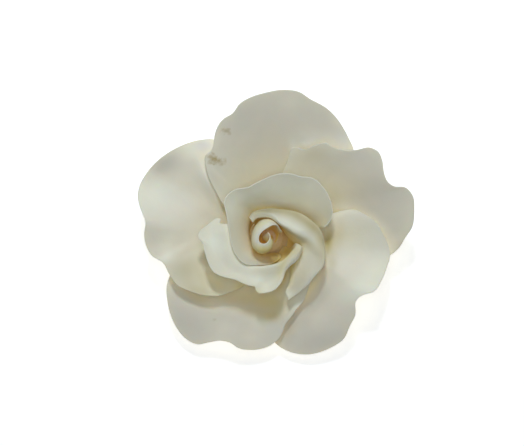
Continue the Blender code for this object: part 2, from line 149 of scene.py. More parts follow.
# Free edges of the outer petals, clockwise from the raised side to the tucked
# side: x, y, height, and the slope of the sheet where it reaches the edge.
# Each foot is the arc it clings to: first and last bearing, first and last height.
# Each rise is how the sheet leaves that arc, at even steps along it: how steeply, and
# how far that carries as a share of the petal.
OUTER_PETALS = {
    "outer_petal_top": {
        "foot": (140, 48, 6.0, 2.5), "rise": [(50, 0.32), (50, 0.32)],
        "edge": [(-7.6, 6.2, 9.5, 50), (-10.8, 7.6, 13.0, 40), (-13.9, 9.9, 16.0, 30),
                 (-16.7, 14.5, 19.0, 22), (-18.4, 17.7, 20.8, 18), (-19.9, 22.5, 22.6, 12),
                 (-20.1, 26.1, 23.4, 8), (-18.3, 27.3, 24.0, 14), (-17.5, 29.3, 24.8, 20),
                 (-17.2, 31.8, 25.8, 24), (-16.3, 34.9, 27.0, 26), (-14.2, 37.7, 28.2, 26),
                 (-11.4, 39.3, 28.8, 24), (-9.0, 42.5, 30.2, 28), (-5.8, 44.4, 31.0, 28),
                 (-1.0, 45.9, 31.4, 28), (5.5, 46.9, 31.4, 28), (9.8, 46.3, 30.6, 24),
                 (13.5, 44.0, 29.2, 24), (18.4, 41.4, 27.4, 22), (21.9, 38.2, 24.8, 12),
                 (24.5, 34.5, 21.8, 5), (26.4, 30.9, 19.2, 0), (27.7, 27.9, 17.0, 0),
                 (25.5, 22.5, 14.5, 10), (18.5, 15.5, 11.0, 30), (11.0, 9.6, 7.0, 45)],
    },
    "outer_petal_right": {
        "foot": (86, -10, 6.0, 2.5), "rise": [(60, 0.34), (48, 0.30), (60, 0.34)],
        "edge": [(0.8, 10.4, 8.9, 50), (2.2, 14.0, 12.1, 42), (4.3, 19.5, 16.1, 28),
                 (6.3, 24.5, 19.8, 25), (8.1, 28.7, 22.8, 25), (11.9, 28.0, 23.2, 22),
                 (15.1, 29.3, 24.4, 24), (18.4, 30.1, 25.2, 26), (20.8, 28.7, 25.2, 26),
                 (24.0, 27.8, 25.8, 27), (28.0, 27.7, 26.8, 29), (32.8, 28.5, 28.6, 32),
                 (35.2, 27.2, 29.2, 33), (36.4, 24.5, 29.0, 33), (37.0, 20.3, 28.2, 30),
                 (38.3, 17.4, 27.6, 27), (40.6, 15.9, 27.6, 26), (43.8, 15.8, 28.4, 28),
                 (46.0, 13.6, 28.0, 28), (46.8, 8.4, 25.4, 22), (46.3, 3.0, 21.0, 10),
                 (44.1, -0.6, 17.2, 0), (42.2, -3.7, 15.2, -4), (39.3, -6.1, 14.2, -2),
                 (33.0, -7.3, 12.8, 8), (24.0, -6.0, 11.0, 25), (14.5, -3.6, 7.0, 45)],
    },
    "outer_petal_lower_right": {
        "foot": (15, -88, 6.0, 2.0),
        "rise": [(60, 0.34), (73, 0.54), (60, 0.34), (60, 0.34)],
        "edge": [(9.8, 4.4, 9.5, 50), (14.8, 5.9, 13.5, 30), (20.9, 7.6, 17.8, 12),
                 (23.5, 8.4, 19.0, 5), (28.0, 8.7, 20.8, 4), (31.0, 7.2, 21.2, 6),
                 (34.0, 5.4, 21.2, 7), (37.2, 0.4, 20.0, 6), (39.3, -6.1, 19.0, 5),
                 (38.3, -9.7, 19.4, 9), (36.4, -14.2, 21.2, 12), (34.1, -17.5, 22.6, 8),
                 (30.3, -18.8, 21.6, -4), (28.3, -20.6, 19.6, -12), (28.2, -25.1, 16.2, -20),
                 (26.4, -29.0, 13.2, -26), (24.5, -33.2, 9.8, -32), (20.0, -36.2, 7.6, -36),
                 (13.5, -38.2, 6.0, -36), (7.4, -37.5, 5.4, -28), (2.4, -34.6, 5.6, -16),
                 (-0.8, -29.0, 6.4, 2), (-2.2, -20.0, 6.6, 22), (-1.8, -13.5, 5.0, 45)],
    },
    "outer_petal_lower_left": {
        "foot": (-50, -164, 6.0, 2.0),
        "rise": [(60, 0.34), (72, 0.52), (62, 0.36), (60, 0.34)],
        "edge": [(8.0, -7.8, 10.4, 50), (11.3, -9.9, 13.3, 35), (13.7, -13.5, 14.9, 18),
                 (12.7, -17.5, 15.2, 5), (11.3, -20.9, 15.2, -2), (9.3, -23.2, 14.6, -8),
                 (8.0, -25.2, 13.8, -14), (5.6, -28.2, 12.4, -20), (4.2, -32.0, 10.0, -26),
                 (0.6, -35.4, 8.4, -30), (-5.8, -36.7, 8.6, -26), (-9.5, -36.1, 9.6, -20),
                 (-12.2, -34.3, 10.8, -16), (-15.5, -33.6, 10.6, -20), (-19.0, -34.2, 8.8, -28),
                 (-23.2, -34.9, 7.0, -36), (-26.9, -32.9, 6.8, -38), (-29.6, -29.5, 7.8, -34),
                 (-31.6, -25.0, 9.6, -24), (-32.6, -20.0, 11.4, -12), (-32.6, -15.5, 12.6, 0),
                 (-29.5, -9.0, 12.5, 5), (-22.0, -5.6, 10.5, 15), (-14.0, -3.2, 6.0, 40)],
    },
    "outer_petal_left": {
        "foot": (250, 112, 6.0, 2.0), "rise": [(60, 0.34), (60, 0.34)],
        "edge": [(-3.6, -10.5, 10.0, 50), (-5.2, -13.2, 13.5, 40), (-7.7, -15.8, 16.4, 25),
                 (-11.3, -17.4, 18.2, 12), (-15.1, -18.8, 18.8, 5), (-19.6, -18.9, 18.8, 0),
                 (-25.1, -17.5, 18.2, -5), (-29.5, -15.3, 17.6, -8), (-31.8, -12.0, 17.4, -4),
                 (-33.8, -8.3, 17.4, 0), (-37.4, -6.1, 16.8, -5), (-39.2, -3.0, 17.2, -5),
                 (-39.8, 1.0, 18.8, 0), (-39.3, 4.5, 20.4, 5), (-41.2, 9.8, 19.8, 0),
                 (-41.9, 13.2, 18.4, -5), (-41.3, 16.5, 17.4, 0), (-38.6, 21.1, 18.0, 12),
                 (-34.8, 25.0, 20.0, 16), (-28.3, 29.1, 20.6, 2), (-21.9, 31.2, 19.4, -10),
                 (-17.2, 31.4, 18.2, -10), (-11.5, 28.0, 15.0, 10), (-8.0, 21.0, 12.0, 25),
                 (-5.5, 14.0, 7.0, 45)],
    },
}

# Inner petals, ring by ring, clockwise from the side that lies inside its neighbour:
# the arc of the foot as above, then every ring that the sheet passes through on its
# way to the free edge, each as x, y, height.
INNER_PETALS = {
    "middle_petal_lip": {
        "foot": (-30, -190, 10.4, 7.4),
        "wall": [(7.2, -3.5, 19.5), (7.6, -5.6, 20.0), (5.8, -8.4, 20.5), (2.0, -10.1, 20.5),
                 (-3.0, -10.7, 21.0), (-7.9, -9.2, 21.5), (-10.9, -5.6, 22.5),
                 (-12.1, -0.6, 23.0), (-12.4, 3.3, 23.0)],
        "crest": [(10.2, -2.5, 27.9), (9.0, -4.0, 28.4), (7.5, -5.3, 28.8), (5.9, -6.8, 29.0),
                  (4.0, -8.3, 28.9), (1.5, -9.4, 28.3), (-2.0, -10.2, 27.5), (-6.0, -9.7, 27.3),
                  (-8.9, -7.9, 27.6), (-11.0, -4.8, 28.0), (-11.9, -1.7, 28.3),
                  (-12.4, 1.7, 28.4), (-12.8, 4.2, 28.0)],
        "lip": [(10.8, -3.0, 28.2), (9.8, -4.9, 28.7), (8.2, -6.7, 29.0), (6.4, -8.3, 28.9),
                (4.9, -10.2, 28.3), (3.2, -12.6, 27.5), (0.0, -14.0, 27.1), (-4.0, -13.4, 27.2),
                (-8.5, -12.2, 27.3), (-13.2, -10.2, 27.5), (-16.4, -6.2, 27.7),
                (-17.2, -2.0, 27.6), (-17.6, 1.8, 27.2), (-15.5, 4.6, 26.8)],
        "edge": [(11.2, -3.5, 27.0), (10.6, -5.5, 27.2), (9.0, -7.9, 27.2), (6.9, -9.6, 27.0),
                 (5.6, -11.3, 27.0), (4.8, -13.8, 27.6), (3.2, -16.0, 28.5), (1.5, -17.4, 29.2),
                 (-0.8, -18.2, 29.5), (-3.2, -18.1, 29.4), (-3.9, -17.3, 29.0),
                 (-4.1, -16.2, 28.5), (-6.0, -15.8, 28.6), (-8.0, -15.0, 28.6),
                 (-10.0, -13.9, 28.6), (-13.0, -13.0, 29.0), (-16.0, -12.0, 29.2),
                 (-17.5, -11.0, 29.3), (-18.7, -9.0, 29.3), (-19.6, -6.5, 29.2),
                 (-20.3, -4.0, 29.1), (-20.7, -2.0, 28.9), (-21.3, -0.9, 28.7),
                 (-22.1, -0.4, 28.5), (-22.2, 1.1, 28.0), (-21.2, 2.4, 27.6),
                 (-19.5, 3.7, 27.1), (-18.0, 5.0, 26.6), (-16.4, 6.0, 26.4),
                 (-14.8, 5.8, 26.2)],
    },
    "middle_petal_cup": {
        "foot": (282, 12, 11.2, 8.0),
        "wall": [(4.0, -5.4, 14.8), (1.4, -6.6, 16.6), (-2.0, -6.7, 19.5), (-4.8, -4.6, 20.0),
                 (-6.3, 0.0, 20.0), (-6.5, 4.0, 20.0), (-5.6, 7.4, 20.0), (-2.0, 9.4, 20.5),
                 (3.0, 9.9, 21.0), (8.0, 9.6, 21.0), (12.0, 8.2, 21.0), (14.6, 6.5, 20.5),
                 (16.4, 4.8, 20.5), (16.8, 2.9, 20.0)],
        "face": [(4.1, -6.0, 15.8), (0.8, -8.0, 19.8), (-3.5, -7.9, 25.0), (-7.4, -5.6, 26.0),
                 (-9.2, -1.0, 26.5), (-10.0, 5.0, 27.0), (-9.2, 10.4, 27.3), (-4.0, 13.2, 27.5),
                 (2.5, 15.0, 27.5), (9.0, 15.0, 27.0), (14.2, 13.0, 26.5), (17.2, 9.6, 26.0),
                 (18.6, 6.6, 25.0), (18.2, 4.4, 23.5), (17.4, 3.0, 22.5)],
        "edge": [(4.2, -6.4, 16.6), (2.9, -7.7, 18.6), (1.0, -8.5, 21.2), (-0.8, -8.9, 24.0),
                 (-3.0, -9.2, 26.6), (-5.2, -9.2, 28.0),
                 (-7.2, -8.6, 28.8), (-8.9, -7.4, 29.3), (-10.1, -5.8, 29.6), (-11.1, -3.8, 29.8),
                 (-11.8, -1.4, 30.0), (-12.2, 2.0, 30.3), (-12.8, 5.5, 30.6), (-13.4, 8.6, 31.0),
                 (-13.9, 10.8, 31.2), (-13.4, 12.6, 31.3), (-12.2, 14.0, 31.3),
                 (-10.6, 15.0, 31.3), (-8.6, 15.4, 31.3), (-6.4, 15.7, 31.4),
                 (-4.4, 16.8, 31.6), (-1.6, 18.2, 31.8), (1.2, 19.4, 31.8), (4.0, 20.1, 31.8),
                 (6.4, 20.2, 31.6), (8.6, 19.8, 31.3), (10.2, 19.2, 31.0), (12.0, 19.0, 30.8),
                 (14.0, 18.8, 30.6), (15.8, 17.7, 30.4), (17.4, 16.0, 30.2), (18.8, 14.0, 29.9),
                 (19.7, 12.0, 29.6), (20.3, 9.8, 29.2), (20.5, 7.6, 28.7), (20.0, 5.6, 28.0),
                 (18.9, 4.2, 27.0), (17.8, 3.2, 26.0)],
    },
    "inner_petal_furled": {
        "foot": (140, -40, 11.8, 8.4),
        "wall": [(-4.5, 4.8, 20.0), (-3.6, 6.0, 20.0), (-1.8, 6.5, 20.0), (0.6, 6.2, 20.0),
                 (2.7, 5.3, 20.0), (4.3, 3.7, 20.0), (5.4, 2.0, 20.0), (6.4, 0.4, 20.0),
                 (7.4, -1.0, 20.0), (8.6, -2.2, 20.0), (9.6, -3.8, 20.0), (10.0, -5.6, 20.0),
                 (9.9, -7.4, 19.5), (9.3, -9.4, 18.5), (8.6, -11.4, 17.5)],
        "face": [(-4.7, 4.6, 25.6), (-3.6, 5.9, 26.2), (-1.8, 6.5, 26.6), (0.8, 6.4, 26.8),
                 (3.1, 5.5, 26.8), (4.9, 4.1, 26.4), (6.2, 2.6, 26.0), (7.6, 1.2, 25.6),
                 (9.0, 0.0, 25.6), (10.4, -1.2, 25.8), (11.6, -2.8, 26.0), (12.2, -4.6, 26.0),
                 (12.0, -6.8, 25.5), (11.2, -9.2, 24.5), (9.6, -12.2, 23.0),
                 (7.2, -15.0, 21.2)],
        "crest": [(-5.0, 4.6, 27.4), (-3.9, 6.0, 28.6), (-2.0, 6.4, 29.2), (0.5, 6.3, 29.5),
                  (2.5, 5.7, 29.6), (4.2, 4.9, 29.8), (5.8, 3.8, 29.9), (7.1, 2.8, 29.9),
                  (8.5, 2.0, 29.9), (10.2, 1.5, 29.9), (11.8, 0.9, 29.8), (13.3, 0.2, 29.6),
                  (14.8, -0.9, 29.3), (16.1, -2.5, 29.0), (16.9, -4.4, 28.6),
                  (17.2, -6.3, 28.1), (17.0, -8.2, 27.6), (16.0, -9.9, 27.0),
                  (14.5, -11.5, 26.3), (12.8, -13.1, 25.6), (11.2, -14.5, 24.9),
                  (9.5, -15.7, 24.1), (7.6, -16.9, 23.1), (5.7, -18.0, 22.2)],
        "lip": [(-5.6, 5.5, 27.8), (-4.5, 7.0, 28.9), (-2.2, 7.4, 29.7), (0.8, 7.2, 30.2),
                (3.3, 6.5, 30.5), (5.4, 5.6, 30.7), (7.2, 4.5, 30.8), (9.2, 3.5, 30.6),
                (11.1, 2.5, 30.3), (13.4, 2.0, 29.7), (15.0, 0.7, 29.3), (16.4, -0.9, 28.9),
                (17.3, -2.9, 28.6), (17.7, -5.0, 28.3), (17.8, -7.0, 27.9), (17.4, -8.8, 27.4),
                (16.2, -10.6, 26.8), (14.7, -12.2, 26.0), (13.0, -13.8, 25.3),
                (11.4, -15.2, 24.6), (9.8, -16.5, 23.9), (8.1, -17.8, 23.1),
                (6.3, -19.3, 22.3)],
        "edge": [(-6.2, 6.3, 25.2), (-4.9, 7.9, 25.8), (-2.3, 8.9, 26.0), (1.0, 9.3, 25.7),
                 (4.0, 9.3, 25.3), (7.0, 8.9, 24.8), (9.8, 8.0, 24.2), (12.0, 6.9, 23.8),
                 (14.0, 5.4, 23.7), (15.7, 3.9, 23.8), (17.0, 2.1, 24.3), (17.8, 0.0, 25.0),
                 (18.1, -2.2, 26.0), (18.2, -4.4, 26.9), (18.2, -6.6, 27.2), (17.9, -8.5, 27.0),
                 (16.9, -10.2, 26.5), (15.4, -11.9, 25.8), (13.8, -13.5, 25.0),
                 (12.3, -15.0, 24.3), (10.9, -16.2, 23.7), (9.5, -17.6, 23.1),
                 (8.0, -19.0, 22.4), (6.4, -20.4, 21.7)],
    },
}

# The bud: one strip furled clockwise round an open heart, leaning in on its first turn
# and flaring out on its last. Its foot spirals on top of the cone (first and last
# bearing, first and last radius). The rings are drawn station by station.
BUD_FOOT = (20, -400, 1.2, 2.7)
BUD_RINGS = {
    "waist": [(-0.6, 0.2, 21), (-0.2, -0.8, 21), (0.3, -1.8, 20.5), (-0.3, -2.9, 20),
              (-1.6, -3.5, 20), (-3.0, -2.7, 20), (-3.7, -0.8, 20), (-3.4, 1.4, 20),
              (-2.1, 3.1, 20), (-0.2, 3.9, 20), (1.4, 3.8, 20), (2.4, 3.1, 20),
              (3.2, 2.2, 19.5), (3.7, 1.0, 19)],
    "flank": [(-1.7, 0.0, 26.6), (-1.0, -1.0, 26), (0.2, -2.4, 25.5), (-0.2, -4.0, 25.5),
              (-2.1, -4.6, 26), (-4.2, -3.0, 26), (-4.9, -0.3, 26.5), (-4.4, 2.5, 26.5),
              (-2.8, 4.5, 27), (-0.4, 5.1, 27), (1.4, 4.8, 26.5), (2.7, 4.0, 26),
              (3.8, 2.9, 24.5), (4.3, 1.4, 23)],
    "shoulder": [(-0.9, 0.9, 28.5), (0.0, -0.3, 28.4), (0.9, -1.8, 28.0), (0.1, -3.4, 28.4),
                 (-2.1, -3.7, 30.0), (-3.8, -2.4, 30.2), (-4.4, -0.3, 30.4), (-3.9, 2.0, 30.5),
                 (-2.4, 3.7, 30.6), (-0.3, 4.4, 30.5), (1.5, 4.5, 30.0), (2.9, 4.2, 28.8),
                 (4.1, 3.1, 27.5), (4.8, 1.8, 25.5)],
    "edge": [(0.0, 1.5, 29.8), (0.5, 0.5, 30.2), (0.2, -0.9, 30.6), (-0.7, -1.9, 31.0),
             (-1.8, -2.0, 31.4), (-2.7, -1.4, 31.7), (-2.9, -0.3, 31.8), (-2.4, 0.9, 31.9),
             (-1.3, 2.0, 32.0), (0.1, 2.9, 32.0), (1.8, 3.9, 31.4), (3.2, 4.2, 30.4),
             (4.5, 3.4, 29.0), (5.4, 2.2, 27.4)],
}

# Touches: soft ovals seen from above, each as x, y, half width across, half
# length along, bearing of the length, and how far it pushes the sheet along +X, +Y, +Z.
TOUCHES = {
    "bud": [
        # the loose tail and the flanks pressed inward
        (4.8, 3.0, 1.8, 2.2, -35, -1.0, -0.8, 0.0), (-5.0, 1.5, 1.5, 3.5, 90, 0.6, 0.0, 0.0),
        (-3.5, 4.2, 1.5, 2.0, 45, 0.3, -0.4, 0.0), (2.4, 5.0, 1.2, 1.5, -20, -0.1, -0.4, 0.0)],
    "inner_petal_furled": [
        # the rolled rim pulled in over the bud
        (5.3, 6.2, 2.2, 3.0, -30, -0.9, -1.5, 0.4), (9.5, 3.4, 2.2, 3.5, -37, -0.9, -1.3, 0.5),
        # the flare drawn wider, its tip drooping, and two folds in it
        (9.3, -10.0, 2.0, 5.0, 70, -1.6, 0.5, 0.0), (11.5, -16.5, 2.2, 4.5, 48, 0.8, -0.4, 0.0),
        (17.5, -11.0, 2.0, 3.5, 65, 0.3, 0.0, 0.0), (8.0, -17.5, 3.2, 4.5, 50, 0.0, 0.0, -2.8),
        (9.6, -10.5, 0.8, 5.0, 75, 0.0, 0.0, 0.35), (12.2, -10.5, 1.0, 5.0, 68, 0.0, 0.0, -0.35)],
    "middle_petal_cup": [
        # the belly raised, the low rim kept clear of the lip, and that rim's end sunk
        (-2.0, 12.5, 4.0, 8.0, 8, 0.0, 0.0, 0.8), (-3.5, -9.2, 1.5, 3.0, 0, 0.0, 0.4, 0.0),
        (3.2, -6.3, 1.8, 2.0, 0, 0.0, 0.0, -2.5)],
    "middle_petal_lip": [
        # the crest eased towards the cup
        (-6.0, -9.0, 1.6, 4.0, -35, 0.4, 0.5, 0.0), (-0.5, -10.3, 1.6, 4.0, 0, 0.0, 0.7, 0.0),
        (-10.5, -5.0, 1.6, 4.0, -60, 0.5, 0.3, 0.0),
        # the outer rim drawn in, and the tongue beside the chip turned down
        (-5.0, -16.5, 1.6, 8.0, -20, 0.0, 0.3, 0.0), (-0.5, -17.5, 2.8, 3.5, 0, 0.0, 0.2, -1.8)],
    "outer_petal_top": [
        # the left side sunk
        (-16.5, 15.5, 2.0, 8.0, 118, 0.0, 0.0, -0.7)],
    "outer_petal_left": [
        # raised under its neighbour's rim, and a low fold
        (-17.5, 15.5, 2.4, 9.0, 118, 0.0, 0.0, 2.0), (-27.5, -4.2, 1.2, 5.0, 28, 0.0, 0.0, 0.35)],
}

# Painted light and shade: the same ovals, with how much paler the paste is painted there,
# as painted highlight, and how much browner, as painted shade. Negative numbers make it
# darker or cooler.
PAINTED_LIGHT_AND_SHADE = {
    "bud": [
        # the side towards the pit, and the tip of the furl
        (3.0, -1.0, 2.6, 3.2, 0, 0.25, 0.8), (-1.5, -0.8, 1.2, 1.2, 0, 0.20, 0.0),
        # the shaded bottom and left flank
        (-1.9, -4.6, 1.5, 2.5, 0, -0.08, 0.7), (-4.2, 4.2, 1.3, 2.5, 50, -0.15, 0.3)],
    "inner_petal_furled": [
        # the groove behind the rolled rim
        (-4.0, 7.6, 1.2, 2.0, 30, -0.15, 0.4), (-0.5, 8.4, 1.4, 3.0, 5, -0.35, 0.5),
        (4.5, 8.6, 1.5, 3.5, -15, -0.28, 0.5), (9.5, 6.8, 1.6, 3.5, -32, -0.23, 0.5),
        (14.0, 3.2, 1.7, 3.2, -42, -0.26, 0.6), (17.0, -0.8, 1.4, 3.0, -62, -0.20, 0.5),
        # painted highlight on the rim's crest, and its wall beside the pit
        (5.1, 5.3, 0.9, 2.5, -30, 0.10, 0.0), (9.6, 2.3, 0.9, 3.0, -37, 0.10, 0.0),
        (7.5, 0.6, 1.2, 3.5, -35, 0.08, 0.5), (8.0, -2.5, 2.0, 3.0, -40, 0.06, 0.6),
        (12.5, -2.0, 1.5, 3.0, -40, -0.03, 0.4),
        # the right shoulder and the flare
        (17.0, -5.5, 2.2, 4.0, -80, -0.10, 0.35), (10.0, -13.5, 2.5, 6.0, 55, -0.10, 0.2),
        (6.5, -12.0, 1.5, 4.0, 75, 0.0, 0.7)],
    "middle_petal_cup": [
        # the deep end beside the pit, and the face of the cup
        (2.4, -6.8, 2.0, 1.6, 0, -0.30, 0.9), (2.0, 13.0, 5.5, 11.0, 8, 0.12, 0.0),
        # the left wall, and the low wall that meets the lip
        (-6.5, -1.0, 1.5, 6.0, 90, 0.0, -0.3), (-5.0, -8.3, 1.3, 4.0, -20, -0.12, 0.0),
        (-1.5, -6.6, 1.3, 2.5, -20, 0.15, -0.4), (1.0, 10.8, 1.2, 6.0, 0, 0.06, -0.3)],
    "middle_petal_lip": [
        # painted highlight on the left end and face of the lip
        (-17.0, -2.0, 3.0, 4.0, -60, 0.10, -0.1), (-8.0, -8.5, 3.0, 8.0, -45, 0.07, 0.0),
        # the right end that closes the pit
        (4.3, -10.0, 1.5, 4.0, 70, 0.0, 0.5), (6.0, -5.5, 1.5, 3.0, 45, -0.10, 0.8),
        (9.5, -4.3, 1.5, 3.0, 40, -0.12, 0.4),
        # the crest, the rim below it and the hollow above it
        (-2.0, -13.8, 1.5, 3.0, -10, 0.12, 0.0), (-7.0, -16.3, 1.0, 5.0, -20, -0.05, 0.8),
        (-1.0, -11.0, 1.2, 4.0, 0, -0.07, 0.2)],
    "outer_petal_top": [
        # painted shade over the whole face, a painted highlight on a ruffle at the top and
        # painted shade on one on its left
        (5.0, 34.0, 12.0, 22.0, 0, -0.06, 0.0), (7.0, 43.0, 2.5, 4.0, 0, 0.07, 0.0),
        (-8.0, 39.5, 4.0, 6.0, 30, -0.04, 0.0),
        # painted highlight on the crease above its neighbour
        (8.5, 28.0, 1.4, 3.0, -65, 0.10, -0.2), (12.5, 29.9, 1.1, 2.8, 5, 0.11, -0.2),
        # ruffles near the rim
        (22.0, 37.5, 2.0, 3.0, -50, 0.05, 0.0), (-16.5, 31.0, 1.5, 3.0, 70, 0.06, 0.0),
        (14.0, 32.0, 2.5, 6.0, -10, 0.05, -0.15), (24.5, 31.0, 3.0, 4.0, -50, -0.08, -0.3)],
    "outer_petal_right": [
        # painted shade on the middle, and browner painted shade on the side beside the cup
        (31.0, 16.0, 10.0, 14.0, 0, -0.12, 0.0), (15.0, 26.0, 3.5, 7.0, 0, -0.10, 0.2),
        (25.0, 15.0, 6.0, 9.0, 0, 0.0, 0.2),
        # the outer ruffle and the tip below it
        (45.0, 4.0, 3.0, 6.0, 80, 0.08, 0.0), (42.5, -4.5, 2.0, 3.5, 60, -0.22, 0.0),
        # the band along its neighbour
        (31.0, 6.5, 1.8, 9.0, -32, 0.06, -0.1), (24.0, 9.5, 1.5, 3.0, -30, 0.03, -0.3),
        (22.0, 12.0, 2.0, 6.0, -65, -0.05, 0.2)],
    "outer_petal_lower_right": [
        # painted highlight on the lobe and the face above it
        (28.5, -18.0, 3.5, 6.0, 10, 0.20, 0.0), (34.5, -11.0, 4.0, 6.0, 60, 0.08, 0.0),
        (30.0, -4.0, 6.0, 8.0, -60, 0.05, 0.0),
        # painted shade on the bottom and its left side
        (15.0, -33.5, 4.5, 11.0, 10, -0.10, 0.0), (6.5, -30.0, 2.5, 5.0, 65, -0.15, 0.2),
        # the shaded corner beside the cup and the furled petal
        (19.3, -1.8, 1.4, 3.5, 85, -0.27, 1.0), (20.7, -8.5, 1.4, 3.0, 85, -0.12, 0.2),
        (22.5, 0.5, 2.0, 4.0, 80, -0.08, 0.3), (28.0, 1.0, 5.0, 7.0, 0, 0.0, 0.2),
        (23.0, -9.0, 3.0, 6.0, 75, 0.0, -0.12),
        # folds that run out from under the flare
        (12.5, -23.3, 1.4, 3.5, 50, -0.08, 0.0), (14.0, -16.5, 1.0, 6.0, 52, 0.10, 0.3),
        (8.0, -26.5, 1.3, 3.5, 58, -0.12, -0.2), (6.0, -14.0, 1.5, 3.0, 75, -0.05, 1.0),
        (16.5, -21.0, 1.5, 6.0, 55, -0.10, 0.0), (11.5, -27.5, 3.0, 3.0, 0, -0.08, 0.0)],
    "outer_petal_lower_left": [
        # browner painted shade under its neighbours
        (-23.0, -19.5, 2.0, 6.0, -30, 0.0, 0.5), (-6.0, -19.8, 3.0, 9.0, -8, 0.0, 0.6),
        (1.5, -21.5, 3.5, 5.0, 0, 0.0, 0.6), (1.5, -25.5, 1.8, 3.0, 20, -0.03, 0.4),
        (-14.0, -20.0, 1.5, 4.0, -5, 0.0, 0.2), (4.0, -13.5, 2.0, 4.0, 75, -0.05, 1.0),
        (-3.0, -24.8, 1.5, 7.0, -12, -0.03, 0.35), (-7.0, -20.5, 2.5, 7.0, -8, -0.07, 0.0),
        # painted shade on folds
        (-26.0, -26.0, 6.0, 9.0, -50, -0.09, 0.0), (-12.0, -26.0, 2.5, 6.0, -15, -0.08, 0.0),
        # painted highlights on ridges
        (-17.0, -22.3, 1.2, 7.0, -5, 0.10, -0.1), (9.0, -21.3, 1.5, 2.5, 50, 0.13, 0.0),
        (-5.0, -33.0, 2.5, 4.0, 0, 0.06, 0.0), (-2.0, -27.3, 2.0, 3.0, 20, 0.16, 0.0)],
    "outer_petal_left": [
        # painted highlight on the face and upper lobe
        (-38.0, 15.0, 6.0, 8.0, 90, 0.08, 0.0), (-28.0, 12.0, 7.0, 12.0, 0, 0.03, -0.12),
        (-25.0, 27.5, 3.0, 4.0, 20, 0.08, 0.0), (-28.0, 19.0, 3.0, 9.0, 20, 0.05, 0.0),
        # painted shade on the upper folds and in the hollow beside the lip
        (-33.0, 23.5, 3.0, 5.0, 35, -0.14, 0.0), (-20.5, 29.5, 2.0, 3.0, 0, -0.12, -0.35),
        (-19.5, 7.5, 2.5, 4.0, 0, -0.10, 0.0), (-25.0, 5.0, 4.0, 6.0, 0, -0.06, 0.0),
        # browner painted shade on the fold at the bottom
        (-24.0, -14.5, 5.0, 8.0, -50, -0.12, 0.35), (-21.0, -17.8, 1.5, 5.0, -20, -0.08, 0.2),
        (-16.0, -15.5, 2.5, 5.0, -45, 0.0, 0.4), (-7.5, -16.8, 1.8, 3.5, -15, -0.08, 1.0),
        (-26.0, -9.5, 3.5, 7.0, 28, -0.11, 0.15),
        # folds below the lip
        (-19.0, -11.0, 1.3, 5.0, -62, 0.12, 0.0), (-21.5, -5.0, 1.2, 3.0, -65, -0.03, 0.1),
        (-21.3, -13.0, 1.2, 5.0, -72, -0.05, 0.1),
        # painted highlights on the lower lobes and on the strip under the top petal's rim
        (-32.5, -6.2, 1.5, 2.5, 30, 0.08, -0.1), (-32.5, -2.5, 2.5, 4.0, 70, 0.08, 0.0),
        (-19.0, 17.0, 2.5, 8.0, 118, 0.06, -0.1)],
}

# Shelter, which sets the painted shade: how each petal looks up for open air
STRIDE = 3                # from every third point of its grid
LIFT = 0.9                # from this far above the sheet
REACH = 45.0
GLANCES = 48
GLANCE_TURN = 2.4         # radians from one glance to the next
OPEN_AIR = [(math.sqrt((i + 0.5) / GLANCES) * math.cos(GLANCE_TURN * i),
             math.sqrt((i + 0.5) / GLANCES) * math.sin(GLANCE_TURN * i),
             math.sqrt(1 - (i + 0.5) / GLANCES)) for i in range(GLANCES)]


def smooth_curve(points, shares, by_station=False):
    """Read a smooth curve through listed points at the given shares of its length.

    By station, the points count as evenly spaced along it.
    """
    points = np.array(points, dtype=float)
    steps = np.linalg.norm(np.diff(points[:, :3], axis=0), axis=1)
    if by_station:
        steps = np.ones(len(steps))
    along = np.concatenate([[0.0], np.cumsum(steps)])
    tangents = np.gradient(points, along, axis=0)
    places = np.array(shares) * along[-1]
    first = np.clip(np.searchsorted(along, places, side="right") - 1, 0, len(steps) - 1)
    width = steps[first][:, None]
    t = ((places - along[first]) / steps[first])[:, None]
    return ((2 * t**3 - 3 * t**2 + 1) * points[first]
            + (t**3 - 2 * t**2 + t) * width * tangents[first]
            + (3 * t**2 - 2 * t**3) * points[first + 1]
            + (t**3 - t**2) * width * tangents[first + 1])


def foot_ring(foot, shares):
    """The arc where a petal clings to the cone."""
    first_bearing, last_bearing, first_height, last_height = foot
    bearing = np.radians(first_bearing + (last_bearing - first_bearing) * shares)
    height = first_height + (last_height - first_height) * shares
    radii, heights = zip(*CORE_SIDE)
    radius = np.interp(height, heights, radii) + SEAT
    return np.column_stack([radius * np.cos(bearing), radius * np.sin(bearing), height])


def outer_net(petal, shares, rows):
    """An outer petal's points, row by row, pulled by its slopes at foot and edge."""
    foot = foot_ring(petal["foot"], shares)
    edge = smooth_curve(petal["edge"], shares)[:, :3]
    across = edge[:, :2] - foot[:, :2]
    reach = np.linalg.norm(across, axis=1, keepdims=True)
    outward = across / reach
    calm = np.mean([smooth_curve(petal["edge"], shares + shift * np.sin(np.pi * shares))
                    for shift in np.linspace(-EDGE_CALM, EDGE_CALM, CALM_READINGS)],
                   axis=0)
    calm_edge, slope = calm[:, :3], np.radians(calm[:, 3])
    steepness, pull = smooth_curve(petal["rise"], shares, by_station=True).T[:, :, None]
    steepness = np.radians(steepness)
    first = foot + pull * reach * np.hstack(
        [outward * np.cos(steepness), np.sin(steepness)])
    second = calm_edge - EDGE_PULL * reach * np.column_stack(
        [outward * np.cos(slope)[:, None], np.sin(slope)])
    v = np.array(rows)[:, None, None]
    return ((1 - v)**3 * foot + 3 * v * (1 - v)**2 * first
            + 3 * v * v * (1 - v) * second + v**3 * edge)


def threaded_net(rings, rows):
    """A sheet's points, row by row, on smooth curves through all of its rings."""
    columns = [smooth_curve(station, rows) for station in np.stack(rings, axis=1)]
    return np.stack(columns, axis=1)


def inner_net(petal, shares, rows):
    """An inner petal's points, row by row."""
    drawn = [smooth_curve(ring, shares) for name, ring in petal.items() if name != "foot"]
    return threaded_net([foot_ring(petal["foot"], shares), *drawn], rows)


